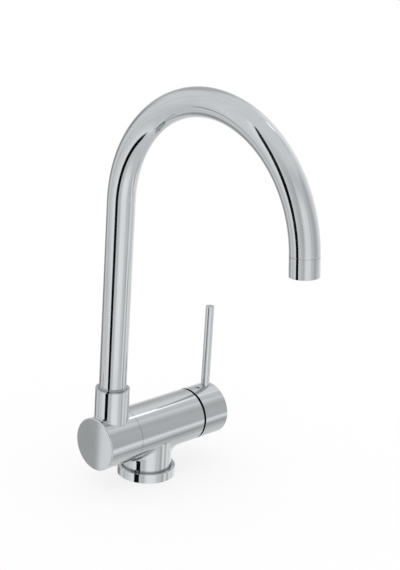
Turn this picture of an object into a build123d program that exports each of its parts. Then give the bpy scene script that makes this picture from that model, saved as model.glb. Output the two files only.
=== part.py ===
from build123d import *
import os

# Kitchen mixer tap with a horizontal barrel. Sizes are in millimetres.
# The origin is the centre of the base on the deck and +Z is up. +X runs along the barrel
# towards the lever, and the spout stands on the barrel's other end and arches towards -Y.

# Fits: radial play of what turns or slides, and of what is pressed, brazed or screwed
running_gap = 0.05
seat_gap = 0.03
hairline = 0.15

# Ceramic cartridge, stacked along the barrel from the floor of its chamber
cartridge_diameter = 35.0
chamber_floor_x = 7.7
port_plate_thickness = 6.0
port_seal_width = 1.6
port_seal_depth = 2.0
peg_diameter = 4.0
peg_length = 3.0
peg_spread = 24.0
peg_rise = 8.0
fixed_disc_thickness = 4.0
moving_disc_thickness = 4.0
moving_disc_diameter = 20.0
mixing_pocket_diameter = 15.0
mixing_pocket_depth = 2.0
carrier_thickness = 5.0
carrier_diameter = 18.0
carrier_flat_width = 14.0
housing_wall = 2.5
housing_roof = 3.3
turret_lift = 0.3
turret_flange_thickness = 2.3
turret_neck_diameter = 23.0
turret_reach = 7.0
guide_lug_width = 2.4
guide_lug_length = 18.0
guide_lug_drop = 4.0
pivot_rise = 3.0
pivot_pin_diameter = 3.0
pivot_pin_inset = 1.2
stem_width = 8.0
stem_ball_diameter = 5.0
ball_proud = 1.0
ball_play = 0.1
stem_neck_diameter = 3.2
stem_slot_play = 4.3
nut_length = 8.0
nut_opening_diameter = 26.0
nut_notch_width = 5.0
nut_notch_depth = 2.5

# Barrel and neck of the body
nut_lip = 2.5
body_wall = 4.28
mouth_depth = 8.4
mouth_chamfer = 0.5
neck_diameter = 45.6
neck_shoulder = 0.3
neck_fillet = 11.0
neck_straight = 6.1
hinge_side_fillet = 5.2
seam_distance = 28.55
seam_chamfer = 0.1
inlet_pitch = 16.0
inlet_tap_diameter = 8.92
inlet_tap_depth = 10.0
water_way_diameter = 6.5
inlet_drop = 5.0
outlet_rise = 6.0
stud_offset = 10.5
stud_tap_diameter = 6.65
stud_tap_depth = 16.0

# Base ring and its seal on the deck
ring_height = 8.6
ring_wall = 3.45
ring_floor = 3.5
ring_recess = 0.5
ring_rim_fillet = 0.5
foot_ledge = 5.0
base_seal_width = 3.0
base_seal_thickness = 2.0
base_seal_inset = 3.0
base_seal_play = 0.2

# Fold joint between the body and the head
fold_gap = 0.15
spindle_diameter = 26.0
spindle_bore_diameter = 12.0
spindle_shoulder = 2.0
spindle_thread_length = 13.0
spindle_tail_diameter = 16.0
spindle_hole_diameter = 8.0
spindle_hole_count = 4
mixed_chamber_depth = 6.0
mixed_chamber_step = 1.5
seal_section = 2.4
seal_groove_play = 0.2
seal_nip = 0.02
friction_washer_width = 5.5
friction_washer_recess = 1.0
friction_washer_play = 0.2
water_groove_depth = 2.5
water_groove_width = 9.0
tail_washer_width = 3.0
tail_washer_thickness = 1.5
tail_nut_across = 24.0
tail_nut_thickness = 4.0
tail_play = 0.5
pocket_play = 2.0
cover_plate = 1.6
cover_spigot = 2.0
cover_fillet = 1.0

# Collar, spout and swivel
spout_diameter = 25.0
spout_wall = 1.2
riser_length = 173.7
arch_radius = 106.4
arch_angle = 174.9
outlet_straight = 1.0
collar_gap = 0.2
collar_wall = 2.8
collar_seam_margin = 2.35
collar_end_margin = 3.4
collar_cover = 5.2
collar_rim_fillet = 0.3
collar_root_fillet = 0.8
socket_floor_wall = 2.0
spout_way_diameter = 16.0
thrust_washer_thickness = 1.0
foot_land = 1.5
bush_height = 4.0
bush_depth = 1.5
stop_groove_height = 4.2
stop_groove_depth = 2.1
foot_tenon = 8.0
stop_screw_diameter = 5.0
stop_screw_tip_diameter = 3.4
stop_screw_socket = 2.5
stop_screw_socket_depth = 2.0
stop_tip_play = 0.5

# Aerator at the outlet
sleeve_length = 16.8
sleeve_wall = 1.5
nose_depth = 5.0
nose_gap = 0.1
nose_thread_length = 8.5
nose_wall = 2.5
aerator_washer_thickness = 2.0
sleeve_bore_step = 0.45
sleeve_lip_width = 1.25
sleeve_lip_thickness = 1.2
sleeve_rim_fillet = 0.5
cage_wall = 1.65
cage_roof = 1.0
cage_lip_width = 0.7
cage_lip_thickness = 0.6
cage_web = 0.8
straightener_thickness = 2.0
straightener_rings = 3
straightener_web = 0.7
straightener_rim = 0.8

# Handle
handle_gap = 2.1
cap_length = 28.2
cap_wall = 1.95
cap_end_wall = 4.0
cap_mouth_chamfer = 1.0
cap_rim_fillet = 0.8
hub_diameter = 17.0
hub_setback = 3.0
rib_width = 13.0
rib_setback = 6.0
stem_grip = 16.0
lever_diameter = 8.0
lever_length = 79.0
lever_inset = 8.1
lever_socket_depth = 9.0
lever_spigot_diameter = 6.0
lever_spigot_length = 6.0
lever_end_fillet = 0.6
set_screw_diameter = 5.0
set_screw_inset = 10.8
set_screw_recess = 0.8
set_screw_socket = 2.5
set_screw_socket_depth = 3.0
set_screw_countersink = 1.0

# Radii that several pieces share
cartridge_radius = cartridge_diameter / 2
nut_radius = cartridge_radius + nut_lip
neck_radius = neck_diameter / 2
body_radius = max(nut_radius + body_wall, neck_radius + neck_shoulder)
water_way_radius = water_way_diameter / 2
foot_radius = neck_radius - foot_ledge
ring_inner_radius = neck_radius + ring_recess
ring_radius = ring_inner_radius + ring_wall
base_seal_outer_radius = ring_radius - base_seal_inset
base_seal_inner_radius = base_seal_outer_radius - base_seal_width
housing_bore_radius = cartridge_radius - housing_wall
turret_neck_radius = turret_neck_diameter / 2
turret_flange_radius = housing_bore_radius - running_gap
pivot_pin_radius = pivot_pin_diameter / 2
stem_ball_radius = stem_ball_diameter / 2
stem_half = stem_width / 2
spindle_radius = spindle_diameter / 2
spindle_thread_radius = spindle_radius - spindle_shoulder
spindle_tail_radius = spindle_tail_diameter / 2
spindle_bore_radius = spindle_radius + running_gap
friction_inner_radius = spindle_radius + friction_washer_play
friction_outer_radius = friction_inner_radius + friction_washer_width
water_groove_radius = spindle_radius + water_groove_depth
tail_washer_radius = spindle_radius + tail_washer_width
pocket_radius = tail_washer_radius + pocket_play
spout_radius = spout_diameter / 2
spout_bore_radius = spout_radius - spout_wall
socket_radius = spout_radius + collar_gap
collar_radius = socket_radius + collar_wall
spout_way_radius = spout_way_diameter / 2
nose_thread_radius = spout_radius - sleeve_wall
nose_way_radius = nose_thread_radius - nose_wall
lever_radius = lever_diameter / 2
set_screw_radius = set_screw_diameter / 2
hub_radius = hub_diameter / 2
cap_bore_radius = body_radius - cap_wall
seal_radius = seal_section / 2
seal_groove_width = seal_section + 2 * seal_groove_play
seal_groove_depth = seal_section

# Heights above the deck
axis_height = ring_floor + neck_straight + neck_fillet + body_radius
inlet_height = axis_height - inlet_drop
socket_floor_z = axis_height + water_groove_radius + socket_floor_wall
foot_bottom_z = socket_floor_z + thrust_washer_thickness
lower_bush_z = foot_bottom_z + foot_land
lower_seal_z = lower_bush_z + bush_height + foot_land + seal_groove_width / 2
upper_seal_z = lower_seal_z + seal_groove_width + foot_land
stop_groove_z = upper_seal_z + seal_groove_width / 2 + foot_land
stop_screw_z = stop_groove_z + stop_groove_height / 2
upper_bush_z = stop_groove_z + stop_groove_height + foot_land
tube_start_z = upper_bush_z + bush_height + foot_land
collar_top_z = tube_start_z + collar_cover
arch_start_z = collar_top_z + riser_length

# Places along the barrel
fixed_disc_x = chamber_floor_x + port_plate_thickness
moving_disc_x = fixed_disc_x + fixed_disc_thickness
carrier_x = moving_disc_x + moving_disc_thickness
carrier_top_x = carrier_x + carrier_thickness
turret_x = carrier_top_x + turret_lift
turret_flange_top_x = turret_x + turret_flange_thickness
roof_x = turret_flange_top_x + running_gap
nut_x = roof_x + housing_roof
turret_top_x = nut_x + turret_reach
pivot_x = turret_flange_top_x + pivot_rise
ball_x = carrier_top_x - stem_ball_radius + ball_proud
mouth_x = nut_x + nut_length + mouth_depth
seam_x = -seam_distance
spindle_shoulder_x = seam_x + friction_washer_recess
spindle_root_x = spindle_shoulder_x + spindle_thread_length
head_right_x = seam_x - fold_gap
friction_left_x = head_right_x - friction_washer_recess
collar_x = head_right_x - collar_seam_margin - collar_radius
head_left_x = collar_x - collar_radius - collar_end_margin
cover_x = head_left_x + cover_plate
tail_end_x = cover_x + cover_spigot + tail_play
tail_washer_x = tail_end_x + tail_nut_thickness
pocket_x = tail_washer_x + tail_washer_thickness
groove_left_x = collar_x - water_groove_width / 2
groove_right_x = collar_x + water_groove_width / 2
left_seal_x = (pocket_x + groove_left_x) / 2
right_seal_x = (friction_left_x + groove_right_x) / 2
cap_x = mouth_x + handle_gap
cap_end_x = cap_x + cap_length
cap_floor_x = cap_end_x - cap_end_wall
hub_x = cap_x + hub_setback
stem_end_x = hub_x + stem_grip
set_screw_x = cap_x + set_screw_inset
lever_x = cap_end_x - lever_inset

# Workplanes: the deck, the barrel's axis, the riser's axis and the spout's upright plane
deck = Plane.XY
barrel = Plane(origin=(0, 0, axis_height), x_dir=(0, 1, 0), z_dir=(1, 0, 0))
riser = Plane(origin=(collar_x, 0, 0))
spout_side = Plane(origin=(collar_x, 0, 0), x_dir=(0, -1, 0), z_dir=(-1, 0, 0))
collar_back = Plane(origin=(collar_x, 0, stop_screw_z), x_dir=(1, 0, 0), z_dir=(0, 1, 0))
lever_axis = Plane(origin=(lever_x, 0, axis_height))
set_screw_axis = Plane(origin=(set_screw_x, 0, axis_height))

# Ports of the cartridge on the barrel's plane: cold and hot below, mixed water above
inlet_ports = [(-inlet_pitch / 2, -inlet_drop), (inlet_pitch / 2, -inlet_drop)]
mixed_port = (0, outlet_rise)
all_ports = inlet_ports + [mixed_port]
pegs = [(-peg_spread / 2, peg_rise), (peg_spread / 2, peg_rise)]


def drum(plane, start, end, radius, mode=Mode.ADD):
    """A cylinder along a plane's normal, between two distances from the plane."""
    with Locations(plane.offset(start)):
        Cylinder(radius, end - start, align=(Align.CENTER, Align.CENTER, Align.MIN), mode=mode)


def bore(plane, start, end, radius):
    """The same cylinder, cut out of the piece."""
    drum(plane, start, end, radius, mode=Mode.SUBTRACT)


def holes(plane, start, end, radius, points):
    """Equal bores at points of a plane."""
    for x, y in points:
        bore(plane.shift_origin(plane.from_local_coords((x, y, 0))), start, end, radius)


def groove(plane, start, end, outer, inner):
    """A ring-shaped cut round a plane's normal."""
    with BuildSketch(plane.offset(start)) as outline:
        Circle(outer)
        Circle(inner, mode=Mode.SUBTRACT)
    extrude(outline.sketch, amount=end - start, mode=Mode.SUBTRACT)


def prism(plane, start, end, width, height, mode=Mode.ADD):
    """A rectangular bar along a plane's normal."""
    with BuildSketch(plane.offset(start)) as outline:
        Rectangle(width, height)
    extrude(outline.sketch, amount=end - start, mode=mode)


def hexagon(plane, start, end, across, mode=Mode.ADD):
    """A hexagonal bar or socket along a plane's normal."""
    with BuildSketch(plane.offset(start)) as outline:
        RegularPolygon(across / 2, 6, major_radius=False)
    extrude(outline.sketch, amount=end - start, mode=mode)


def seal(plane, height, outer):
    """A round rubber ring whose outside touches a bore of the given radius."""
    with Locations(plane.offset(height)):
        Torus(outer - seal_nip - seal_radius, seal_radius)


def meeting_curve(builder):
    """The curves where the cylinder added last meets the barrel."""
    curved = builder.edges(Select.LAST).filter_by(GeomType.LINE, reverse=True)
    return curved.filter_by(GeomType.CIRCLE, reverse=True)


# Base ring: a cup that stands on the deck round the neck, with a groove for its seal
with BuildPart() as base_ring:
    drum(deck, 0, ring_height, ring_radius)
    bore(deck, ring_floor, ring_height, ring_inner_radius)
    bore(deck, 0, ring_floor, foot_radius + seat_gap)
    groove(deck, 0, base_seal_thickness, base_seal_outer_radius + base_seal_play,
           base_seal_inner_radius - base_seal_play)
    fillet(base_ring.edges().filter_by(GeomType.CIRCLE).group_by(Axis.Z)[-1], radius=ring_rim_fillet)

# Base seal: flat rubber ring, level with the ring's underside
with BuildPart() as base_seal:
    drum(deck, 0, base_seal_thickness, base_seal_outer_radius)
    bore(deck, 0, base_seal_thickness, base_seal_inner_radius)


def neck_side(side, root_radius):
    """The barrel and neck on one side of the neck's middle, with that side's fillet between them."""
    with BuildPart() as half:
        drum(barrel, seam_x - neck_fillet, mouth_x, body_radius)
        drum(deck, ring_floor, axis_height, neck_radius)
        split(bisect_by=Plane.YZ, keep=side)
        root = half.edges().filter_by(GeomType.LINE, reverse=True).filter_by(GeomType.CIRCLE, reverse=True)
        fillet(root, radius=root_radius)
    return half.part


# Body casting: barrel and neck in one, with a wide fillet on the lever's side and a small one
# next to the fold joint, the cartridge's chamber, the water ways, the thread of the fold
# spindle, and the hose inlets and the stud's hole in the foot
with BuildPart() as body_casting:
    add(neck_side(Keep.BOTTOM, hinge_side_fillet))
    add(neck_side(Keep.TOP, neck_fillet))
    split(bisect_by=barrel.offset(seam_x), keep=Keep.TOP)
    drum(deck, 0, ring_floor, foot_radius)
    chamfer(body_casting.edges().filter_by(GeomType.CIRCLE).group_by(Axis.X)[-1], length=mouth_chamfer)
    bore(barrel, chamber_floor_x, nut_x, cartridge_radius + running_gap)
    bore(barrel, nut_x, mouth_x, nut_radius + seat_gap)
    holes(barrel, chamber_floor_x - peg_length - running_gap, chamber_floor_x,
          peg_diameter / 2 + running_gap, pegs)
    holes(barrel, 0, chamber_floor_x, water_way_radius, inlet_ports)
    holes(barrel, spindle_root_x, chamber_floor_x, water_way_radius, [mixed_port])
    holes(deck, 0, inlet_height, water_way_radius, [(0, x) for x, y in inlet_ports])
    holes(deck, 0, inlet_tap_depth, inlet_tap_diameter / 2, [(0, x) for x, y in inlet_ports])
    holes(deck, 0, stud_tap_depth, stud_tap_diameter / 2, [(-stud_offset, 0)])
    bore(barrel, seam_x, spindle_shoulder_x, friction_outer_radius + friction_washer_play)
    bore(barrel, spindle_shoulder_x, spindle_root_x, spindle_thread_radius + seat_gap)
    bore(barrel, spindle_root_x, spindle_root_x + mixed_chamber_depth,
         spindle_thread_radius - mixed_chamber_step)

# Cartridge base: plate with the three ports, a seal's seat round each, and two pegs
with BuildPart() as cartridge_base:
    drum(barrel, chamber_floor_x, fixed_disc_x, cartridge_radius)
    for x, y in pegs:
        drum(barrel.shift_origin(barrel.from_local_coords((x, y, 0))), chamber_floor_x - peg_length,
             chamber_floor_x, peg_diameter / 2)
    holes(barrel, chamber_floor_x, fixed_disc_x, water_way_radius, all_ports)
    holes(barrel, chamber_floor_x, chamber_floor_x + port_seal_depth,
          water_way_radius + port_seal_width + seat_gap, all_ports)

# Port seals: three rubber rings between the cartridge and the chamber's floor
with BuildPart() as port_seals:
    for x, y in all_ports:
        port_axis = barrel.shift_origin(barrel.from_local_coords((x, y, 0)))
        drum(port_axis, chamber_floor_x, chamber_floor_x + port_seal_depth, water_way_radius + port_seal_width)
    holes(barrel, chamber_floor_x, chamber_floor_x + port_seal_depth, water_way_radius, all_ports)

# Fixed disc: ceramic disc with the same three ports
with BuildPart() as fixed_disc:
    drum(barrel, fixed_disc_x, moving_disc_x, housing_bore_radius - running_gap)
    holes(barrel, fixed_disc_x, moving_disc_x, water_way_radius, all_ports)

# Moving disc: ceramic disc with a blind pocket in which the water mixes
with BuildPart() as moving_disc:
    drum(barrel, moving_disc_x, carrier_x, moving_disc_diameter / 2)
    bore(barrel, moving_disc_x, moving_disc_x + mixing_pocket_depth, mixing_pocket_diameter / 2)

# Disc carrier: plastic driver on the moving disc, with two flats that slide between the
# turret's lugs and a socket for the stem's ball
with BuildPart() as disc_carrier:
    with BuildSketch(barrel.offset(carrier_x)):
        Circle(carrier_diameter / 2)
        Rectangle(carrier_flat_width, carrier_diameter, mode=Mode.INTERSECT)
    extrude(amount=carrier_thickness)
    socket_width = stem_ball_diameter + 2 * ball_play
    prism(barrel, ball_x - stem_ball_radius - ball_play, carrier_top_x, socket_width, socket_width,
          mode=Mode.SUBTRACT)

# Cartridge housing: plastic cup over the discs, with a roof that holds the turret down
with BuildPart() as cartridge_housing:
    drum(barrel, fixed_disc_x, nut_x, cartridge_radius)
    bore(barrel, fixed_disc_x, roof_x, housing_bore_radius)
    bore(barrel, roof_x, nut_x, turret_neck_radius + running_gap)

# Cartridge turret: turns with the lever, guides the carrier and holds the stem's pin
with BuildPart() as cartridge_turret:
    drum(barrel, turret_x, turret_flange_top_x, turret_flange_radius)
    drum(barrel, turret_flange_top_x, turret_top_x, turret_neck_radius)
    for side in (-1, 1):
        lug_y = side * (carrier_flat_width / 2 + running_gap + guide_lug_width / 2)
        lug_axis = barrel.shift_origin(barrel.from_local_coords((lug_y, 0, 0)))
        prism(lug_axis, turret_x - guide_lug_drop, turret_x, guide_lug_width, guide_lug_length)
    prism(barrel, turret_x, turret_top_x, stem_width + 2 * running_gap,
          stem_width + 2 * stem_slot_play, mode=Mode.SUBTRACT)
    pin_axis = Plane(origin=(pivot_x, 0, axis_height), x_dir=(1, 0, 0), z_dir=(0, 1, 0))
    bore(pin_axis, -turret_neck_radius, turret_neck_radius, pivot_pin_radius + seat_gap)

# Stem pivot pin: steel pin across the turret
with BuildPart() as stem_pivot_pin:
    pin_half = turret_neck_radius - pivot_pin_inset
    drum(pin_axis, -pin_half, pin_half, pivot_pin_radius)

# Cartridge stem: square bar that tilts on the pin, with a ball that moves the carrier
with BuildPart() as cartridge_stem:
    prism(barrel, turret_flange_top_x, stem_end_x, stem_width, stem_width)
    drum(barrel, ball_x, turret_flange_top_x, stem_neck_diameter / 2)
    with Locations(barrel.offset(ball_x)):
        Sphere(stem_ball_radius)
    bore(pin_axis, -stem_half, stem_half, pivot_pin_radius + running_gap)

# Cartridge nut: screwed into the barrel's mouth, with notches for a pin spanner
with BuildPart() as cartridge_nut:
    drum(barrel, nut_x, nut_x + nut_length, nut_radius)
    bore(barrel, nut_x, nut_x + nut_length, nut_opening_diameter / 2)
    prism(barrel, nut_x + nut_length - nut_notch_depth, nut_x + nut_length, nut_notch_width, 2 * nut_radius,
          mode=Mode.SUBTRACT)
    prism(barrel, nut_x + nut_length - nut_notch_depth, nut_x + nut_length, 2 * nut_radius, nut_notch_width,
          mode=Mode.SUBTRACT)

# Fold spindle: hollow brass shaft screwed into the body, on which the head folds
with BuildPart() as fold_spindle:
    drum(barrel, pocket_x, spindle_shoulder_x, spindle_radius)
    drum(barrel, spindle_shoulder_x, spindle_root_x, spindle_thread_radius)
    drum(barrel, tail_end_x - hairline, pocket_x, spindle_tail_radius)
    for seal_x in (left_seal_x, right_seal_x):
        groove(barrel, seal_x - seal_groove_width / 2, seal_x + seal_groove_width / 2, spindle_radius,
               spindle_radius - seal_groove_depth)
    bore(barrel, groove_left_x, spindle_root_x, spindle_bore_diameter / 2)
    for turn in range(spindle_hole_count):
        spoke = Plane(origin=(collar_x, 0, axis_height)).rotated((turn * 360 / spindle_hole_count, 0, 0))
        bore(spoke, 0, spindle_radius, spindle_hole_diameter / 2)

# Spindle seals: two rubber rings, one on each side of the water groove
with BuildPart() as spindle_seals:
    for seal_x in (left_seal_x, right_seal_x):
        seal(barrel, seal_x, spindle_bore_radius)

# Friction washer: between the body and the head, holds the spout at any fold
with BuildPart() as friction_washer:
    drum(barrel, friction_left_x, spindle_shoulder_x, friction_outer_radius)
    bore(barrel, friction_left_x, spindle_shoulder_x, friction_inner_radius)

# Spindle washer and nut: hold the head on the spindle
with BuildPart() as spindle_washer:
    drum(barrel, tail_washer_x, pocket_x, tail_washer_radius)
    bore(barrel, tail_washer_x, pocket_x, spindle_tail_radius + seat_gap)

with BuildPart() as spindle_nut:
    hexagon(barrel, tail_end_x, tail_washer_x, tail_nut_across)
    bore(barrel, tail_end_x, tail_washer_x, spindle_tail_radius + seat_gap)

# Head casting: the barrel's folding end with the collar, bored for the spindle and the spout
with BuildPart() as head_casting:
    drum(barrel, cover_x, head_right_x, body_radius)
    drum(riser, axis_height, collar_top_z, collar_radius)
    fillet(meeting_curve(head_casting), radius=collar_root_fillet)
    chamfer(head_casting.edges().filter_by(GeomType.CIRCLE).group_by(Axis.X)[-1], length=seam_chamfer)
    fillet(head_casting.edges().filter_by(GeomType.CIRCLE).group_by(Axis.Z)[-1], radius=collar_rim_fillet)
    bore(riser, socket_floor_z, collar_top_z, socket_radius)
    bore(riser, axis_height, socket_floor_z, spout_way_radius)
    bore(barrel, pocket_x, head_right_x, spindle_bore_radius)
    bore(barrel, groove_left_x, groove_right_x, water_groove_radius)
    bore(barrel, friction_left_x, head_right_x, friction_outer_radius + friction_washer_play)
    bore(barrel, cover_x, pocket_x, pocket_radius)
    bore(collar_back, 0, collar_radius, stop_screw_diameter / 2 + seat_gap)

# End cover: disc with a rounded rim, pressed into the head
with BuildPart() as end_cover:
    drum(barrel, head_left_x, cover_x, body_radius)
    fillet(end_cover.edges().filter_by(GeomType.CIRCLE).group_by(Axis.X)[0], radius=cover_fillet)
    drum(barrel, cover_x, cover_x + cover_spigot, pocket_radius - seat_gap)

# Spout set screw: its tip stands in the foot's groove, so the spout turns but can't lift
with BuildPart() as spout_set_screw:
    stop_tip_y = spout_radius - stop_groove_depth + stop_tip_play
    stop_head_y = collar_radius - stop_tip_play
    drum(collar_back, stop_tip_y, socket_radius, stop_screw_tip_diameter / 2)
    drum(collar_back, socket_radius, stop_head_y, stop_screw_diameter / 2)
    hexagon(collar_back, stop_head_y - stop_screw_socket_depth, stop_head_y, stop_screw_socket,
            mode=Mode.SUBTRACT)

# Spout tube: one bent tube from inside the collar to the outlet
with BuildPart() as spout_tube:
    with BuildLine(spout_side) as spout_path:
        Line((0, tube_start_z), (0, arch_start_z))
        arch_line = CenterArc((arch_radius, arch_start_z), arch_radius, 180, -arch_angle)
        Line(arch_line @ 1, (arch_line @ 1) + outlet_straight * (arch_line % 1))
    with BuildSketch(riser.offset(tube_start_z)):
        Circle(spout_radius)
        Circle(spout_bore_radius, mode=Mode.SUBTRACT)
    sweep()

outlet = Plane(origin=spout_path.line @ 1, x_dir=(1, 0, 0), z_dir=spout_path.line % 1)

# Spout foot: turned brass foot brazed into the tube, with the swivel's grooves
with BuildPart() as spout_foot:
    drum(riser, foot_bottom_z, tube_start_z, spout_radius)
    drum(riser, tube_start_z, tube_start_z + foot_tenon, spout_bore_radius - seat_gap)
    bore(riser, foot_bottom_z, tube_start_z + foot_tenon, spout_way_radius)
    for bush_z in (lower_bush_z, upper_bush_z):
        groove(riser, bush_z, bush_z + bush_height, spout_radius, spout_radius - bush_depth)
    for seal_z in (lower_seal_z, upper_seal_z):
        groove(riser, seal_z - seal_groove_width / 2, seal_z + seal_groove_width / 2, spout_radius,
               socket_radius - seal_groove_depth - seal_nip)
    groove(riser, stop_groove_z, stop_groove_z + stop_groove_height, spout_radius,
           spout_radius - stop_groove_depth)

# Swivel bushes: two plastic rings that carry the foot in the collar
with BuildPart() as swivel_bushes:
    for bush_z in (lower_bush_z, upper_bush_z):
        drum(riser, bush_z, bush_z + bush_height, socket_radius - running_gap)
        bore(riser, bush_z, bush_z + bush_height, spout_radius - bush_depth + seat_gap)

# Spout seals: two rubber rings round the foot
with BuildPart() as spout_seals:
    for seal_z in (lower_seal_z, upper_seal_z):
        seal(riser, seal_z, socket_radius)

# Thrust washer: plastic ring under the foot
with BuildPart() as thrust_washer:
    drum(riser, socket_floor_z, foot_bottom_z, spout_radius)
    bore(riser, socket_floor_z, foot_bottom_z, spout_way_radius)

# Spout nose: insert brazed into the outlet, with the aerator's thread
with BuildPart() as spout_nose:
    drum(outlet, -nose_depth, 0, spout_bore_radius - nose_gap)
    drum(outlet, 0, nose_thread_length, nose_thread_radius)
    bore(outlet, -nose_depth, nose_thread_length, nose_way_radius)

# Aerator sleeve: screwed onto the nose, level with the tube, with a lip under the cage
cage_top = nose_thread_length + aerator_washer_thickness
cage_bottom = sleeve_length - sleeve_lip_thickness
cage_radius = nose_thread_radius - sleeve_bore_step
with BuildPart() as aerator_sleeve:
    drum(outlet, hairline, sleeve_length, spout_radius)
    bore(outlet, hairline, cage_top, nose_thread_radius + seat_gap)
    bore(outlet, cage_top, cage_bottom, cage_radius + seat_gap)
    bore(outlet, cage_bottom, sleeve_length, cage_radius - sleeve_lip_width)
    sleeve_rim = aerator_sleeve.edges().filter_by(GeomType.CIRCLE).group_by(Axis.Z)[0]
    fillet(sleeve_rim, radius=sleeve_rim_fillet)

# Aerator washer: rubber ring between the nose and the cage
with BuildPart() as aerator_washer:
    drum(outlet, nose_thread_length, cage_top, nose_thread_radius)
    bore(outlet, nose_thread_length, cage_top, nose_way_radius)

# Aerator cage: plastic cup with a perforated roof and a lip under the straightener
straightener_end = cage_bottom - cage_lip_thickness
straightener_start = straightener_end - straightener_thickness
cage_bore_radius = cage_radius - cage_wall
straightener_radius = cage_bore_radius - seat_gap
hole_field_radius = straightener_radius - straightener_rim
hole_pitch = (hole_field_radius + straightener_web / 2) / (straightener_rings + 0.5)
straightener_hole_radius = (hole_pitch - straightener_web) / 2
with BuildPart() as aerator_cage:
    drum(outlet, cage_top, cage_bottom, cage_radius)
    bore(outlet, cage_top + cage_roof, straightener_end, cage_bore_radius)
    bore(outlet, straightener_end, cage_bottom, cage_bore_radius - cage_lip_width)
    for orbit in range(1, straightener_rings + 1):
        with BuildSketch(outlet.offset(cage_top)):
            with PolarLocations(orbit * hole_pitch, 6 * orbit):
                Circle((hole_pitch - cage_web) / 2)
        extrude(amount=cage_roof, mode=Mode.SUBTRACT)

# Flow straightener: disc of small round channels
with BuildPart() as flow_straightener:
    drum(outlet, straightener_start, straightener_end, straightener_radius)
    bore(outlet, straightener_start, straightener_end, straightener_hole_radius)
    for orbit in range(1, straightener_rings + 1):
        with BuildSketch(outlet.offset(straightener_start)):
            with PolarLocations(orbit * hole_pitch, 6 * orbit):
                Circle(straightener_hole_radius)
        extrude(amount=straightener_thickness, mode=Mode.SUBTRACT)

# Handle cap: shell level with the barrel, with a hub on the stem and a rib that holds the
# lever and the set screw
with BuildPart() as handle_cap:
    drum(barrel, cap_x, cap_end_x, body_radius)
    fillet(handle_cap.edges().filter_by(GeomType.CIRCLE).group_by(Axis.X)[-1], radius=cap_rim_fillet)
    bore(barrel, cap_x, cap_floor_x, cap_bore_radius)
    cap_mouth = handle_cap.edges().filter_by(GeomType.CIRCLE).group_by(Axis.X)[0].sort_by(SortBy.RADIUS)
    chamfer(cap_mouth[0], length=cap_mouth_chamfer)
    chamfer(cap_mouth[-1], length=seam_chamfer)
    drum(barrel, hub_x, cap_floor_x, hub_radius)
    rib_axis = barrel.shift_origin(barrel.from_local_coords((0, cap_bore_radius / 2, 0)))
    prism(rib_axis, cap_x + rib_setback, cap_floor_x, rib_width, cap_bore_radius)
    prism(barrel, hub_x, stem_end_x + seat_gap, stem_width + 2 * seat_gap, stem_width + 2 * seat_gap,
          mode=Mode.SUBTRACT)
    bore(set_screw_axis, 0, body_radius, set_screw_radius + seat_gap)
    with Locations(set_screw_axis.offset(body_radius - set_screw_countersink)):
        Cone(set_screw_radius + seat_gap, set_screw_radius + seat_gap + set_screw_countersink,
             set_screw_countersink, align=(Align.CENTER, Align.CENTER, Align.MIN), mode=Mode.SUBTRACT)
    lever_seat = body_radius - lever_socket_depth
    bore(lever_axis, lever_seat, body_radius, lever_radius + seat_gap)
    bore(lever_axis, lever_seat - lever_spigot_length, lever_seat, lever_spigot_diameter / 2 + seat_gap)

# Lever pin: round bar on a screwed spigot
with BuildPart() as lever_pin:
    drum(lever_axis, lever_seat, body_radius + lever_length, lever_radius)
    fillet(lever_pin.edges().filter_by(GeomType.CIRCLE).group_by(Axis.Z)[-1], radius=lever_end_fillet)
    drum(lever_axis, lever_seat - lever_spigot_length, lever_seat, lever_spigot_diameter / 2)

# Handle set screw: clamps the cap on the stem
with BuildPart() as handle_set_screw:
    set_screw_top = body_radius - set_screw_recess
    drum(set_screw_axis, stem_half, set_screw_top, set_screw_radius)
    hexagon(set_screw_axis, set_screw_top - set_screw_socket_depth, set_screw_top, set_screw_socket,
            mode=Mode.SUBTRACT)

pieces = {
    "base_ring": base_ring,
    "base_seal": base_seal,
    "body_casting": body_casting,
    "cartridge_base": cartridge_base,
    "port_seals": port_seals,
    "fixed_disc": fixed_disc,
    "moving_disc": moving_disc,
    "disc_carrier": disc_carrier,
    "cartridge_housing": cartridge_housing,
    "cartridge_turret": cartridge_turret,
    "stem_pivot_pin": stem_pivot_pin,
    "cartridge_stem": cartridge_stem,
    "cartridge_nut": cartridge_nut,
    "fold_spindle": fold_spindle,
    "spindle_seals": spindle_seals,
    "friction_washer": friction_washer,
    "spindle_washer": spindle_washer,
    "spindle_nut": spindle_nut,
    "head_casting": head_casting,
    "end_cover": end_cover,
    "spout_set_screw": spout_set_screw,
    "spout_tube": spout_tube,
    "spout_foot": spout_foot,
    "swivel_bushes": swivel_bushes,
    "spout_seals": spout_seals,
    "thrust_washer": thrust_washer,
    "spout_nose": spout_nose,
    "aerator_sleeve": aerator_sleeve,
    "aerator_washer": aerator_washer,
    "aerator_cage": aerator_cage,
    "flow_straightener": flow_straightener,
    "handle_cap": handle_cap,
    "lever_pin": lever_pin,
    "handle_set_screw": handle_set_screw,
}

os.makedirs("parts", exist_ok=True)
for name, piece in pieces.items():
    piece.part.label = name
    export_step(piece.part, f"parts/{name}.step")
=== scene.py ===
import math

import bpy
from mathutils import Matrix, Vector


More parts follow.
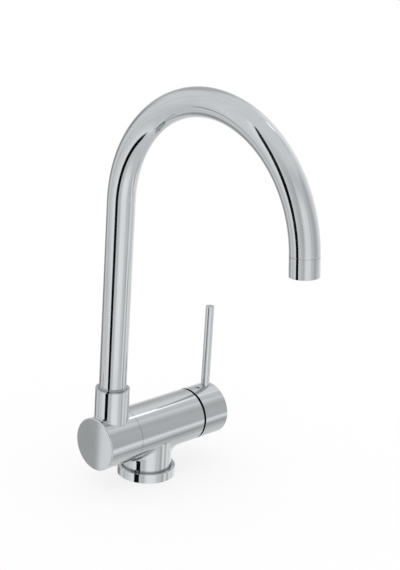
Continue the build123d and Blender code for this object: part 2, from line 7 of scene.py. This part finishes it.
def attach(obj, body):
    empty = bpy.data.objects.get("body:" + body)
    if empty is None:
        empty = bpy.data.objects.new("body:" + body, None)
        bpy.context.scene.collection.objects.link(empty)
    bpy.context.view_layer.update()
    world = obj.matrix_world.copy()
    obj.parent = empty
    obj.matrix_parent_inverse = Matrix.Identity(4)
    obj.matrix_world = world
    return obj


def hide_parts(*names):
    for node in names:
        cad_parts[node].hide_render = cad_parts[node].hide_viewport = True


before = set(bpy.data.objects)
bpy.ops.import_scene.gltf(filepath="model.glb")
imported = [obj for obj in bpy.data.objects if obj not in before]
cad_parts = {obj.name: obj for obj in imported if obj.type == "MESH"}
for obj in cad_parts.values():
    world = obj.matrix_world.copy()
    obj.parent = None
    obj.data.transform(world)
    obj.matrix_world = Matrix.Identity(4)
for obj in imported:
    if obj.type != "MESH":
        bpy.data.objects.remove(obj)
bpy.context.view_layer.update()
for leftover in ("Cube", "Light", "Camera"):
    if leftover in bpy.data.objects:
        bpy.data.objects.remove(bpy.data.objects[leftover])


# Base seal: a flat ring of black nitrile rubber in the groove under the base ring.
# The tap's stud pulls it down on the sink, and it keeps water out of the hole.
def linear(hex_colour):
    """An sRGB hex colour as the linear numbers that a shader takes."""
    parts = [int(hex_colour[i:i + 2], 16) / 255 for i in (0, 2, 4)]
    return [c / 12.92 if c <= 0.04045 else ((c + 0.055) / 1.055) ** 2.4 for c in parts] + [1.0]


def add(tree, kind, settings=None, values=None, links=None):
    """One node, with its settings, its sockets' values and the sockets that feed it."""
    node = tree.nodes.new(kind)
    for name, value in (settings or {}).items():
        setattr(node, name, value)
    for socket, value in (values or {}).items():
        node.inputs[socket].default_value = value
    for socket, source in (links or {}).items():
        tree.links.new(source, node.inputs[socket])
    return node


def begin_finish(name):
    """A new material, its node tree, its Principled shader and the piece's own coordinates."""
    material = bpy.data.materials.new(name)
    material.use_nodes = True
    tree = material.node_tree
    return material, tree, tree.nodes["Principled BSDF"], add(tree, "ShaderNodeTexCoord").outputs["Object"]


def put_finish(material, *nodes):
    """Gives CAD nodes a finish in place of the plain one that they were loaded with."""
    for node in nodes:
        for slot in bpy.data.objects[node].material_slots:
            slot.material = material


# Moulded nitrile rubber is near black and dull, with a bloom of fine grey dust in patches of 6 mm.
# The mould's texture is about 0.05 mm and is drawn ten times as coarse, so that it shows.
bloom_patch, mould_texture = 0.006, 0.0005
rubber, tree, shader, place = begin_finish("moulded_nitrile_rubber")
bloom = add(tree, "ShaderNodeTexNoise", values={"Scale": 1 / bloom_patch, "Detail": 4.0},
            links={"Vector": place})
tint = add(tree, "ShaderNodeMix", {"data_type": "RGBA"}, {"A": linear("17181A"), "B": linear("2B2C2E")},
           {"Factor": bloom.outputs["Fac"]})
tree.links.new(tint.outputs["Result"], shader.inputs["Base Color"])
mould_grain = add(tree, "ShaderNodeTexNoise", values={"Scale": 1 / mould_texture, "Detail": 2.0},
                  links={"Vector": place})
grain_bump = add(tree, "ShaderNodeBump", values={"Strength": 0.2, "Distance": 0.0001},
                 links={"Height": mould_grain.outputs["Fac"]})
tree.links.new(grain_bump.outputs["Normal"], shader.inputs["Normal"])
shader.inputs["Roughness"].default_value = 0.72
shader.inputs["IOR"].default_value = 1.52
put_finish(rubber, "base_seal")

# Base ring: a turned brass cup that stands on the sink round the body's neck and hides its foot.
# It is buffed and plated with nickel and chromium, as are all the pieces that show.
plate_dark, plate_light = "C2C6C8", "CBCED0"
buffed_cloud, cloud_roughness = 0.025, (0.05, 0.1)
wave_length, wave_strength, wave_depth = 0.012, 0.1, 0.0002


def buff_plate(tree, shader, place):
    """Gives a shader the wheel's waves, and returns the tint and the roughness of its clouds."""
    shader.inputs["Metallic"].default_value = 1.0
    clouds = add(tree, "ShaderNodeTexNoise", values={"Scale": 1 / buffed_cloud, "Detail": 3.0},
                 links={"Vector": place})
    tint = add(tree, "ShaderNodeMix", {"data_type": "RGBA"},
               {"A": linear(plate_dark), "B": linear(plate_light)}, {"Factor": clouds.outputs["Fac"]})
    dullness = add(tree, "ShaderNodeMapRange",
                   values={"From Min": 0.3, "From Max": 0.7,
                           "To Min": cloud_roughness[0], "To Max": cloud_roughness[1]},
                   links={"Value": clouds.outputs["Fac"]})
    waves = add(tree, "ShaderNodeTexNoise", values={"Scale": 1 / wave_length, "Detail": 1.0},
                links={"Vector": place})
    wave_bump = add(tree, "ShaderNodeBump", values={"Strength": wave_strength, "Distance": wave_depth},
                    links={"Height": waves.outputs["Fac"]})
    tree.links.new(wave_bump.outputs["Normal"], shader.inputs["Normal"])
    return tint.outputs["Result"], dullness.outputs["Result"]


# Buffed chromium mirrors the whole room and is a trace blue. The wheel leaves soft clouds of duller
# metal about 25 mm wide, and faint wavy unevenness about 12 mm long, which bends mirrored edges.
chrome, tree, shader, place = begin_finish("buffed_chrome_plate")
plate_tint, plate_dullness = buff_plate(tree, shader, place)
tree.links.new(plate_tint, shader.inputs["Base Color"])
tree.links.new(plate_dullness, shader.inputs["Roughness"])
put_finish(chrome, "base_ring")

# Body casting: barrel and neck in one brass casting, ground and buffed before it is plated.
# The hose inlets and the stud's hole are tapped in its foot.
barrel_height = 0.04488
cartridge_bore = 0.0228
bore_left, bore_right = 0.03, 0.0755
spout_x = -0.04655
collar_bore = 0.01272
collar_low, above_tap = 0.08, 1.0
painted_bore_shade, bare_roughness = "1E1C1A", 0.6

# A plated casting is buffed chromium outside. The plating bath hardly reaches into its bores, so
# they stay dull, rougher metal. Their near-black colour is painted shade that darkens the bores, and so a
# narrow gap between two castings looks black.
casting, tree, shader, place = begin_finish("plated_brass_casting")
plate_tint, plate_dullness = buff_plate(tree, shader, place)
spots = add(tree, "ShaderNodeSeparateXYZ", links={"Vector": place}).outputs
bores = []
for middle, across, reach, way, low, high in (
        ((0, 0, barrel_height), (0, 1, 1), cartridge_bore, "X", bore_left, bore_right),
        ((spout_x, 0, 0), (1, 1, 0), collar_bore, "Z", collar_low, above_tap)):
    from_axis = add(tree, "ShaderNodeVectorMath", {"operation": "SUBTRACT"}, {1: middle}, {0: place})
    flat = add(tree, "ShaderNodeVectorMath", {"operation": "MULTIPLY"}, {1: across},
               {0: from_axis.outputs[0]})
    radius = add(tree, "ShaderNodeVectorMath", {"operation": "LENGTH"}, links={0: flat.outputs[0]})
    within = add(tree, "ShaderNodeMath", {"operation": "LESS_THAN"}, {1: reach},
                 {0: radius.outputs["Value"]})
    after = add(tree, "ShaderNodeMath", {"operation": "GREATER_THAN"}, {1: low}, {0: spots[way]})
    before = add(tree, "ShaderNodeMath", {"operation": "LESS_THAN"}, {1: high}, {0: spots[way]})
    run = add(tree, "ShaderNodeMath", {"operation": "MULTIPLY"},
              links={0: after.outputs[0], 1: before.outputs[0]})
    bores.append(add(tree, "ShaderNodeMath", {"operation": "MULTIPLY"},
                     links={0: within.outputs[0], 1: run.outputs[0]}).outputs[0])
unplated_shaded_bores = add(tree, "ShaderNodeMath", {"operation": "MAXIMUM"}, links={0: bores[0], 1: bores[1]}).outputs[0]
# Painted shade: the bores' near-black tint stands in for shade there. Their higher roughness is the real
# unplated skin.
tint = add(tree, "ShaderNodeMix", {"data_type": "RGBA"}, {"B": linear(painted_bore_shade)},
           {"Factor": unplated_shaded_bores, "A": plate_tint})
tree.links.new(tint.outputs["Result"], shader.inputs["Base Color"])
cast_skin = add(tree, "ShaderNodeMix", {"data_type": "FLOAT"}, {"B": bare_roughness},
                {"Factor": unplated_shaded_bores, "A": plate_dullness})
tree.links.new(cast_skin.outputs["Result"], shader.inputs["Roughness"])
put_finish(casting, "body_casting")

# Cartridge: the single-lever valve that sits in the barrel. Its base, housing, disc carrier and
# turret are moulded acetal, clipped together, and its two ceramic discs are lapped flat.
put_finish(rubber, "port_seals")


def moulded_acetal(name, dark, light, mark_size, swirl, smoothest, dullest):
    """An acetal whose tint and satin skin follow the marks that the melt left as it ran."""
    material, tree, shader, place = begin_finish(name)
    flow = add(tree, "ShaderNodeTexNoise",
               values={"Scale": 1 / mark_size, "Detail": 3.0, "Distortion": swirl}, links={"Vector": place})
    tint = add(tree, "ShaderNodeMix", {"data_type": "RGBA"}, {"A": linear(dark), "B": linear(light)},
               {"Factor": flow.outputs["Fac"]})
    tree.links.new(tint.outputs["Result"], shader.inputs["Base Color"])
    satin = add(tree, "ShaderNodeMapRange", values={"To Min": smoothest, "To Max": dullest},
                links={"Value": flow.outputs["Fac"]})
    tree.links.new(satin.outputs["Result"], shader.inputs["Roughness"])
    shader.inputs["IOR"].default_value = 1.48
    return material


# Moulded black acetal has a satin skin, with long faint flow marks, about 8 mm wide, where the melt ran.
black_acetal = moulded_acetal("moulded_black_acetal", "1B1C1E", "292A2D",
                              mark_size=0.008, swirl=1.5, smoothest=0.32, dullest=0.46)
put_finish(black_acetal, "cartridge_base", "cartridge_housing", "cartridge_turret", "disc_carrier")

# Lapped alumina is ivory white and smooth as glass, with a dust of grey pores. They are a few
# hundredths of a millimetre wide, and are drawn 0.8 mm apart and far coarser, so that they show.
pore_spacing = 0.0008
alumina, tree, shader, place = begin_finish("lapped_alumina_ceramic")
pores = add(tree, "ShaderNodeTexVoronoi", values={"Scale": 1 / pore_spacing}, links={"Vector": place})
pore_tint = add(tree, "ShaderNodeMapRange", values={"From Min": 0.05, "From Max": 0.2},
                links={"Value": pores.outputs["Distance"]})
tint = add(tree, "ShaderNodeMix", {"data_type": "RGBA"}, {"A": linear("D8D4CA"), "B": linear("EFECE4")},
           {"Factor": pore_tint.outputs["Result"]})
tree.links.new(tint.outputs["Result"], shader.inputs["Base Color"])
shader.inputs["Roughness"].default_value = 0.12
shader.inputs["IOR"].default_value = 1.76
put_finish(alumina, "fixed_disc", "moving_disc")

# Cut metal keeps the lathe's fine rings across the axis that it was turned on. They are about
# 0.08 mm apart and are drawn about four times as coarse, so that they show.
lathe_ring = 0.0003
turned = {}
for alloy, dark, light in (("brass", "B08E4C", "D2B26C"), ("stainless_steel", "A3A4A4", "C4C5C4")):
    for way, stretch in (("across", (1, 0.02, 0.02)), ("upright", (0.02, 0.02, 1))):
        metal, tree, shader, place = begin_finish("turned_" + alloy + "_" + way)
        shader.inputs["Metallic"].default_value = 1.0
        along = add(tree, "ShaderNodeMapping", values={"Scale": stretch}, links={"Vector": place})
        rings = add(tree, "ShaderNodeTexNoise", values={"Scale": 1 / lathe_ring, "Detail": 2.0},
                    links={"Vector": along.outputs["Vector"]})
        tint = add(tree, "ShaderNodeMix", {"data_type": "RGBA"}, {"A": linear(dark), "B": linear(light)},
                   {"Factor": rings.outputs["Fac"]})
        tree.links.new(tint.outputs["Result"], shader.inputs["Base Color"])
        cut = add(tree, "ShaderNodeMapRange", values={"To Min": 0.18, "To Max": 0.36},
                  links={"Value": rings.outputs["Fac"]})
        tree.links.new(cut.outputs["Result"], shader.inputs["Roughness"])
        turned[alloy, way] = metal
put_finish(turned["brass", "across"], "cartridge_stem", "cartridge_nut")
put_finish(turned["stainless_steel", "across"], "stem_pivot_pin")

# Fold spindle: the hollow brass pivot that the head turns on, screwed into the body's left end.
# A nut and washer hold the head on it, two O-rings seal it, and a plastic washer gives the drag.
put_finish(turned["brass", "across"], "fold_spindle", "spindle_nut")
put_finish(turned["stainless_steel", "across"], "spindle_washer")
put_finish(rubber, "spindle_seals")

# Moulded white acetal is milky in patches of 5 mm, a little warm, and satin where it runs on metal.
white_acetal = moulded_acetal("moulded_white_acetal", "DDDACF", "ECEAE2",
                              mark_size=0.005, swirl=0.0, smoothest=0.3, dullest=0.42)
put_finish(white_acetal, "friction_washer")

# Folding head: a chromed brass casting with the spout's collar on top, and a chromed cover pressed
# into its end over the spindle's nut. A grub screw in the collar's back keeps the spout from lifting.
put_finish(casting, "head_casting")
put_finish(chrome, "end_cover")
put_finish(turned["stainless_steel", "across"], "spout_set_screw")

# Spout foot: a turned brass plug brazed into the tube. It stands on a plastic washer in the collar,
# turns in two plastic bushes, and is sealed by two O-rings.
put_finish(turned["brass", "upright"], "spout_foot")
put_finish(white_acetal, "thrust_washer", "swivel_bushes")
put_finish(rubber, "spout_seals")

# Spout tube: drawn brass tube, bent cold over a former into one arch of almost a half circle, then
# buffed and plated. It runs straight up from the foot and over the arch to the outlet.
tube_sizes = {"Tube radius": 0.0125, "Arch radius": 0.1064, "Riser": 0.1789,
              "Arch angle": math.radians(174.9), "Outlet": 0.001, "Axis X": spout_x,
              "Arch start Z": 0.26908}
tube_wall = 0.0012
broken_edge = 0.00015
arch_points, section_points = 121, 96
run_join = 0.00001
rim_angle, sharp_angle = math.radians(60), math.radians(35)
sweep = bpy.data.node_groups.new("bent_tube", "GeometryNodeTree")
sweep.interface.new_socket("Geometry", in_out="OUTPUT", socket_type="NodeSocketGeometry")
tube_inputs = {name: sweep.interface.new_socket(name, in_out="INPUT", socket_type="NodeSocketFloat")
               for name in tube_sizes}
given = add(sweep, "NodeGroupInput").outputs
downward = add(sweep, "ShaderNodeMath", {"operation": "MULTIPLY"}, {1: -1.0}, {0: given["Riser"]})
inward = add(sweep, "ShaderNodeMath", {"operation": "MULTIPLY"}, {1: -1.0}, {0: given["Arch radius"]})
riser_foot = add(sweep, "ShaderNodeCombineXYZ",
                 links={"X": given["Arch radius"], "Y": downward.outputs[0]})
arch_start = add(sweep, "ShaderNodeCombineXYZ", links={"X": given["Arch radius"]})
outlet_end = add(sweep, "ShaderNodeCombineXYZ", links={"X": given["Arch radius"], "Y": given["Outlet"]})
riser = add(sweep, "GeometryNodeCurvePrimitiveLine",
            links={"Start": riser_foot.outputs[0], "End": arch_start.outputs[0]})
arch = add(sweep, "GeometryNodeCurveArc", values={"Resolution": arch_points},
           links={"Radius": given["Arch radius"], "Sweep Angle": given["Arch angle"]})
outlet = add(sweep, "GeometryNodeCurvePrimitiveLine",
             links={"Start": arch_start.outputs[0], "End": outlet_end.outputs[0]})
arch_turn = add(sweep, "ShaderNodeCombineXYZ", links={"Z": given["Arch angle"]})
outlet_placed = add(sweep, "GeometryNodeTransform",
                    links={"Geometry": outlet.outputs[0], "Rotation": arch_turn.outputs[0]})
runs = add(sweep, "GeometryNodeJoinGeometry")
for run in (riser, arch, outlet_placed):
    sweep.links.new(run.outputs[0], runs.inputs[0])
wire = add(sweep, "GeometryNodeCurveToMesh", links={"Curve": runs.outputs[0]})
one_wire = add(sweep, "GeometryNodeMergeByDistance", values={"Distance": run_join},
               links={"Geometry": wire.outputs[0]})
path = add(sweep, "GeometryNodeMeshToCurve", links={"Mesh": one_wire.outputs[0]})
centre = add(sweep, "ShaderNodeCombineXYZ",
             links={"X": given["Axis X"], "Y": inward.outputs[0], "Z": given["Arch start Z"]})
path_placed = add(sweep, "GeometryNodeTransform",
                  values={"Rotation": (math.radians(90), 0, math.radians(90))},
                  links={"Geometry": path.outputs[0], "Translation": centre.outputs[0]})
section = add(sweep, "GeometryNodeCurvePrimitiveCircle", values={"Resolution": section_points},
              links={"Radius": given["Tube radius"]})
skin = add(sweep, "GeometryNodeCurveToMesh",
           links={"Curve": path_placed.outputs[0], "Profile Curve": section.outputs[0]})
smooth = add(sweep, "GeometryNodeSetShadeSmooth", links={"Geometry": skin.outputs[0]})
real = add(sweep, "GeometryNodeRealizeInstances", links={"Geometry": smooth.outputs[0]})
plated = add(sweep, "GeometryNodeSetMaterial", values={"Material": chrome},
             links={"Geometry": real.outputs[0]})
add(sweep, "NodeGroupOutput", links={"Geometry": plated.outputs[0]})

spout = bpy.data.objects.new("bent_spout_tube", bpy.data.meshes.new("bent_spout_tube"))
bpy.context.collection.objects.link(spout)
bend = spout.modifiers.new("bend", "NODES")
bend.node_group = sweep
for name, size in tube_sizes.items():
    bend[tube_inputs[name].identifier] = size
wall = spout.modifiers.new("wall", "SOLIDIFY")
wall.thickness = tube_wall
wall.offset = -1.0
wall.use_even_offset = True
rims = spout.modifiers.new("rims", "BEVEL")
rims.width = broken_edge
rims.segments = 2
rims.limit_method = "ANGLE"
rims.angle_limit = rim_angle
drawn = bpy.data.meshes.new_from_object(spout.evaluated_get(bpy.context.evaluated_depsgraph_get()))
spout.modifiers.clear()
spout.data = drawn
drawn.name = "bent_spout_tube"
drawn.set_sharp_from_angle(angle=sharp_angle)
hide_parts("spout_tube")
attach(spout, "spout")

# Outlet and aerator: a brass nose brazed into the tube carries a chromed sleeve on its thread.
# The sleeve clamps a rubber washer and the plastic cage whose holes make the water's jets run straight.
put_finish(turned["brass", "upright"], "spout_nose")
put_finish(chrome, "aerator_sleeve")
put_finish(rubber, "aerator_washer")
put_finish(white_acetal, "aerator_cage", "flow_straightener")

# Handle: a chromed brass cap on the cartridge's stem, held by a steel grub screw in its top.
# The lever is a plain chromed rod pressed into a socket beside the screw.
put_finish(casting, "handle_cap")
put_finish(chrome, "lever_pin")
put_finish(turned["stainless_steel", "upright"], "handle_set_screw")

# Stage: a white floor inside a white light tent. The tent's cloth is darker or lighter in soft
# patches, and a black flag at the left draws the dark line down the metal.
floor_half = 3.0
floor_glow = 0.7
floor_mesh = bpy.data.meshes.new("floor")
floor_mesh.from_pydata([(x * floor_half, y * floor_half, 0) for x, y in ((-1, -1), (1, -1), (1, 1), (-1, 1))],
                       [], [(0, 1, 2, 3)])
floor = bpy.data.objects.new("floor", floor_mesh)
bpy.context.collection.objects.link(floor)
floor.visible_glossy = False

# White paper is matt. It is lit from below as well, so that it shows nearly white and still keeps the
# tap's soft shadow.
floor_white, tree, shader, place = begin_finish("white_paper_floor")
shader.inputs["Base Color"].default_value = (1, 1, 1, 1)
shader.inputs["Roughness"].default_value = 0.9
shader.inputs["Specular IOR Level"].default_value = 0.0
lit_from_below = add(tree, "ShaderNodeEmission")
seen = add(tree, "ShaderNodeLightPath")
glow = add(tree, "ShaderNodeMath", {"operation": "MULTIPLY"}, {1: floor_glow},
           {0: seen.outputs["Is Camera Ray"]})
paper = add(tree, "ShaderNodeMixShader",
            links={0: glow.outputs[0], 1: shader.outputs[0], 2: lit_from_below.outputs[0]})
tree.links.new(paper.outputs[0], tree.nodes["Material Output"].inputs["Surface"])
floor_mesh.materials.append(floor_white)

# The flag is wide low down and narrow at the top: each row is a height and its front and rear edges
# there. A white card stands at its rear edge, and draws the bright line beside the dark one.
flag_x = -0.54
flag_edges = ((-1.0, -0.205, -0.01), (0.22, -0.205, -0.01), (0.42, -0.19, -0.03), (0.88, -0.07, -0.03))
card_width = 0.08
velvet_tone, card_glow = 0.006, 1.12
flag_mesh = bpy.data.meshes.new("black_flag")
flag_mesh.from_pydata([(flag_x, y, z) for z, front, rear in flag_edges
                       for y in (front, rear, rear + card_width)], [],
                      [(3 * row + i, 3 * row + i + 1, 3 * row + i + 4, 3 * row + i + 3)
                       for row in range(len(flag_edges) - 1) for i in (0, 1)])

# Black velvet swallows almost all light, and the card beside it is a little brighter than the tent.
flag_black, tree, shader, place = begin_finish("black_velvet")
shader.inputs["Base Color"].default_value = (velvet_tone, velvet_tone, velvet_tone, 1)
shader.inputs["Roughness"].default_value = 1.0
shader.inputs["Specular IOR Level"].default_value = 0.0
card_white, tree, shader, place = begin_finish("lit_white_card")
lit = add(tree, "ShaderNodeEmission", values={"Strength": card_glow})
tree.links.new(lit.outputs[0], tree.nodes["Material Output"].inputs["Surface"])
for finish in (flag_black, card_white):
    flag_mesh.materials.append(finish)
for face in flag_mesh.polygons:
    face.material_index = face.index % 2
flag = bpy.data.objects.new("black_flag", flag_mesh)

# A small card lies on the floor beside the head, grey along one side and white along the other, and
# the flat end cover mirrors it.
card_corner = Vector((-0.0655, -0.0066, 0.0005))
card_along = Vector((-0.67, 0.742, 0))
card_across = Vector((0.742, 0.67, 0))
card_near, card_far, card_half = 0.015, 0.16, 0.025
white_side, grey_side = 1.02, 0.53
white_until, grey_from = -0.0036, 0.0044
end_card_mesh = bpy.data.meshes.new("end_card")
end_card_mesh.from_pydata([card_corner + card_along * a + card_across * b
                           for a, b in ((card_near, -card_half), (card_far, -card_half),
                                        (card_far, card_half), (card_near, card_half))],
                          [], [(0, 1, 2, 3)])
two_tone, tree, shader, place = begin_finish("grey_and_white_card")
from_edge = add(tree, "ShaderNodeVectorMath", {"operation": "DOT_PRODUCT"}, {1: card_across}, {0: place})
edge_place = card_across.dot(card_corner)
card_tone = add(tree, "ShaderNodeMapRange", {"interpolation_type": "SMOOTHSTEP"},
                {"From Min": edge_place + white_until, "From Max": edge_place + grey_from,
                 "To Min": white_side, "To Max": grey_side},
                {"Value": from_edge.outputs["Value"]})
lit = add(tree, "ShaderNodeEmission", links={"Strength": card_tone.outputs["Result"]})
tree.links.new(lit.outputs[0], tree.nodes["Material Output"].inputs["Surface"])
end_card_mesh.materials.append(two_tone)
end_card = bpy.data.objects.new("end_card", end_card_mesh)
for reflector in (flag, end_card):
    bpy.context.collection.objects.link(reflector)
    reflector.visible_camera = False
    reflector.visible_diffuse = False
    reflector.visible_shadow = False

# Each patch of the tent: direction round from the camera's side and height in degrees, each with
# half its spread, then how much lighter or darker it is, and half the width of its soft edge.
cloth_level = 0.94
fold_depth, fold_width = 0.12, math.radians(9)
camera_side = math.radians(45.49)
patches = (
    (-138, 13, -24, 34, -0.57, 12),
    (-172, 26, 24, 18, -0.36, 11),
    (83, 17, 13, 28, -0.29, 8),
    (23, 22, -8, 40, 0.38, 15),
    (-53, 10, -35, 62, 0.36, 27),
    (153, 26, 6, 39, 0.21, 10),
    (0, 200, -51, 32, -0.12, 20),
    (7, 56, 14, 31, -0.26, 20),
    (105, 8, -40, 8, -0.16, 6),
    (-8, 6, -5, 45, -0.06, 5),
    (122, 8, 46, 6, -0.15, 4),
    (139, 6, 52.5, 2.6, 1.1, 1.4),
    (90, 7, -18, 5, 0.25, 3),
    (76, 6, -20, 8, -0.12, 5),
    (70, 4, -31, 8, -0.2, 2),
    (84, 4.5, -31, 8, 0.28, 2),
    (97, 3.5, -31, 8, -0.24, 2),
    (112, 7, -31, 8, 0.25, 2),
    (-93.9, 1.5, -21, 8, -0.45, 0.8),
    (-99, 3, -32, 6, 0.15, 2),
)
world = bpy.data.worlds.new("white_tent")
bpy.context.scene.world = world
world.use_nodes = True
tree = world.node_tree
ray = add(tree, "ShaderNodeTexCoord").outputs["Generated"]
turned_ray = add(tree, "ShaderNodeVectorRotate", {"rotation_type": "Z_AXIS"}, {"Angle": camera_side},
                 {"Vector": ray})
split = add(tree, "ShaderNodeSeparateXYZ", links={"Vector": turned_ray.outputs["Vector"]}).outputs
forward = add(tree, "ShaderNodeMath", {"operation": "MULTIPLY"}, {1: -1.0}, {0: split["Y"]})
round_way = add(tree, "ShaderNodeMath", {"operation": "ARCTAN2"},
                links={0: split["X"], 1: forward.outputs[0]})
height = add(tree, "ShaderNodeMath", {"operation": "ARCSINE"}, links={0: split["Z"]})
folds = add(tree, "ShaderNodeTexNoise", {"noise_dimensions": "1D"},
            {"Scale": 1 / fold_width, "Detail": 1.0}, {"W": round_way.outputs[0]})
level = add(tree, "ShaderNodeMapRange",
            values={"To Min": cloth_level - fold_depth, "To Max": cloth_level + fold_depth},
            links={"Value": folds.outputs["Fac"]})
for way, half_way, rise, half_rise, change, edge in patches:
    inside = []
    for angle, middle, half in ((round_way, way, half_way), (height, rise, half_rise)):
        offset = add(tree, "ShaderNodeMath", {"operation": "SUBTRACT"}, {1: math.radians(middle)},
                     {0: angle.outputs[0]})
        near = add(tree, "ShaderNodeMath", {"operation": "WRAP"}, {1: math.pi, 2: -math.pi},
                   {0: offset.outputs[0]})
        apart = add(tree, "ShaderNodeMath", {"operation": "ABSOLUTE"}, links={0: near.outputs[0]})
        share = add(tree, "ShaderNodeMapRange", {"interpolation_type": "SMOOTHSTEP"},
                    {"From Min": math.radians(half - edge), "From Max": math.radians(half + edge),
                     "To Min": 1.0, "To Max": 0.0},
                    {"Value": apart.outputs[0]})
        inside.append(share.outputs["Result"])
    patch = add(tree, "ShaderNodeMath", {"operation": "MULTIPLY"}, links={0: inside[0], 1: inside[1]})
    level = add(tree, "ShaderNodeMath", {"operation": "MULTIPLY_ADD"}, {1: change},
                {0: patch.outputs[0], 2: level.outputs[0]})
seen = add(tree, "ShaderNodeLightPath")
shown = add(tree, "ShaderNodeMix", {"data_type": "FLOAT"}, {"A": 1.0},
            {"Factor": seen.outputs["Is Glossy Ray"], "B": level.outputs[0]})
tree.links.new(shown.outputs["Result"], tree.nodes["Background"].inputs["Color"])

# Camera: at the photograph's viewing place, about 1.5 m from the tap and 0.7 m above the floor.
# Its own right, up and back directions give its turn.
camera = bpy.data.objects.new("camera", bpy.data.cameras.new("camera"))
bpy.context.collection.objects.link(camera)
camera.data.lens = 108.57
camera.data.sensor_width = 36.0
stand = Vector((-1.0066, -1.04452, 0.68581))
right = Vector((0.714205, -0.697416, 0.059338))
up = Vector((0.188127, 0.272927, 0.943461))
back = Vector((-0.67418, -0.662662, 0.326129))
turn = Matrix((right, up, back)).transposed().to_4x4()
camera.matrix_world = Matrix.Translation(stand) @ turn
bpy.context.scene.camera = camera
bpy.context.scene.view_settings.view_transform = "Standard"
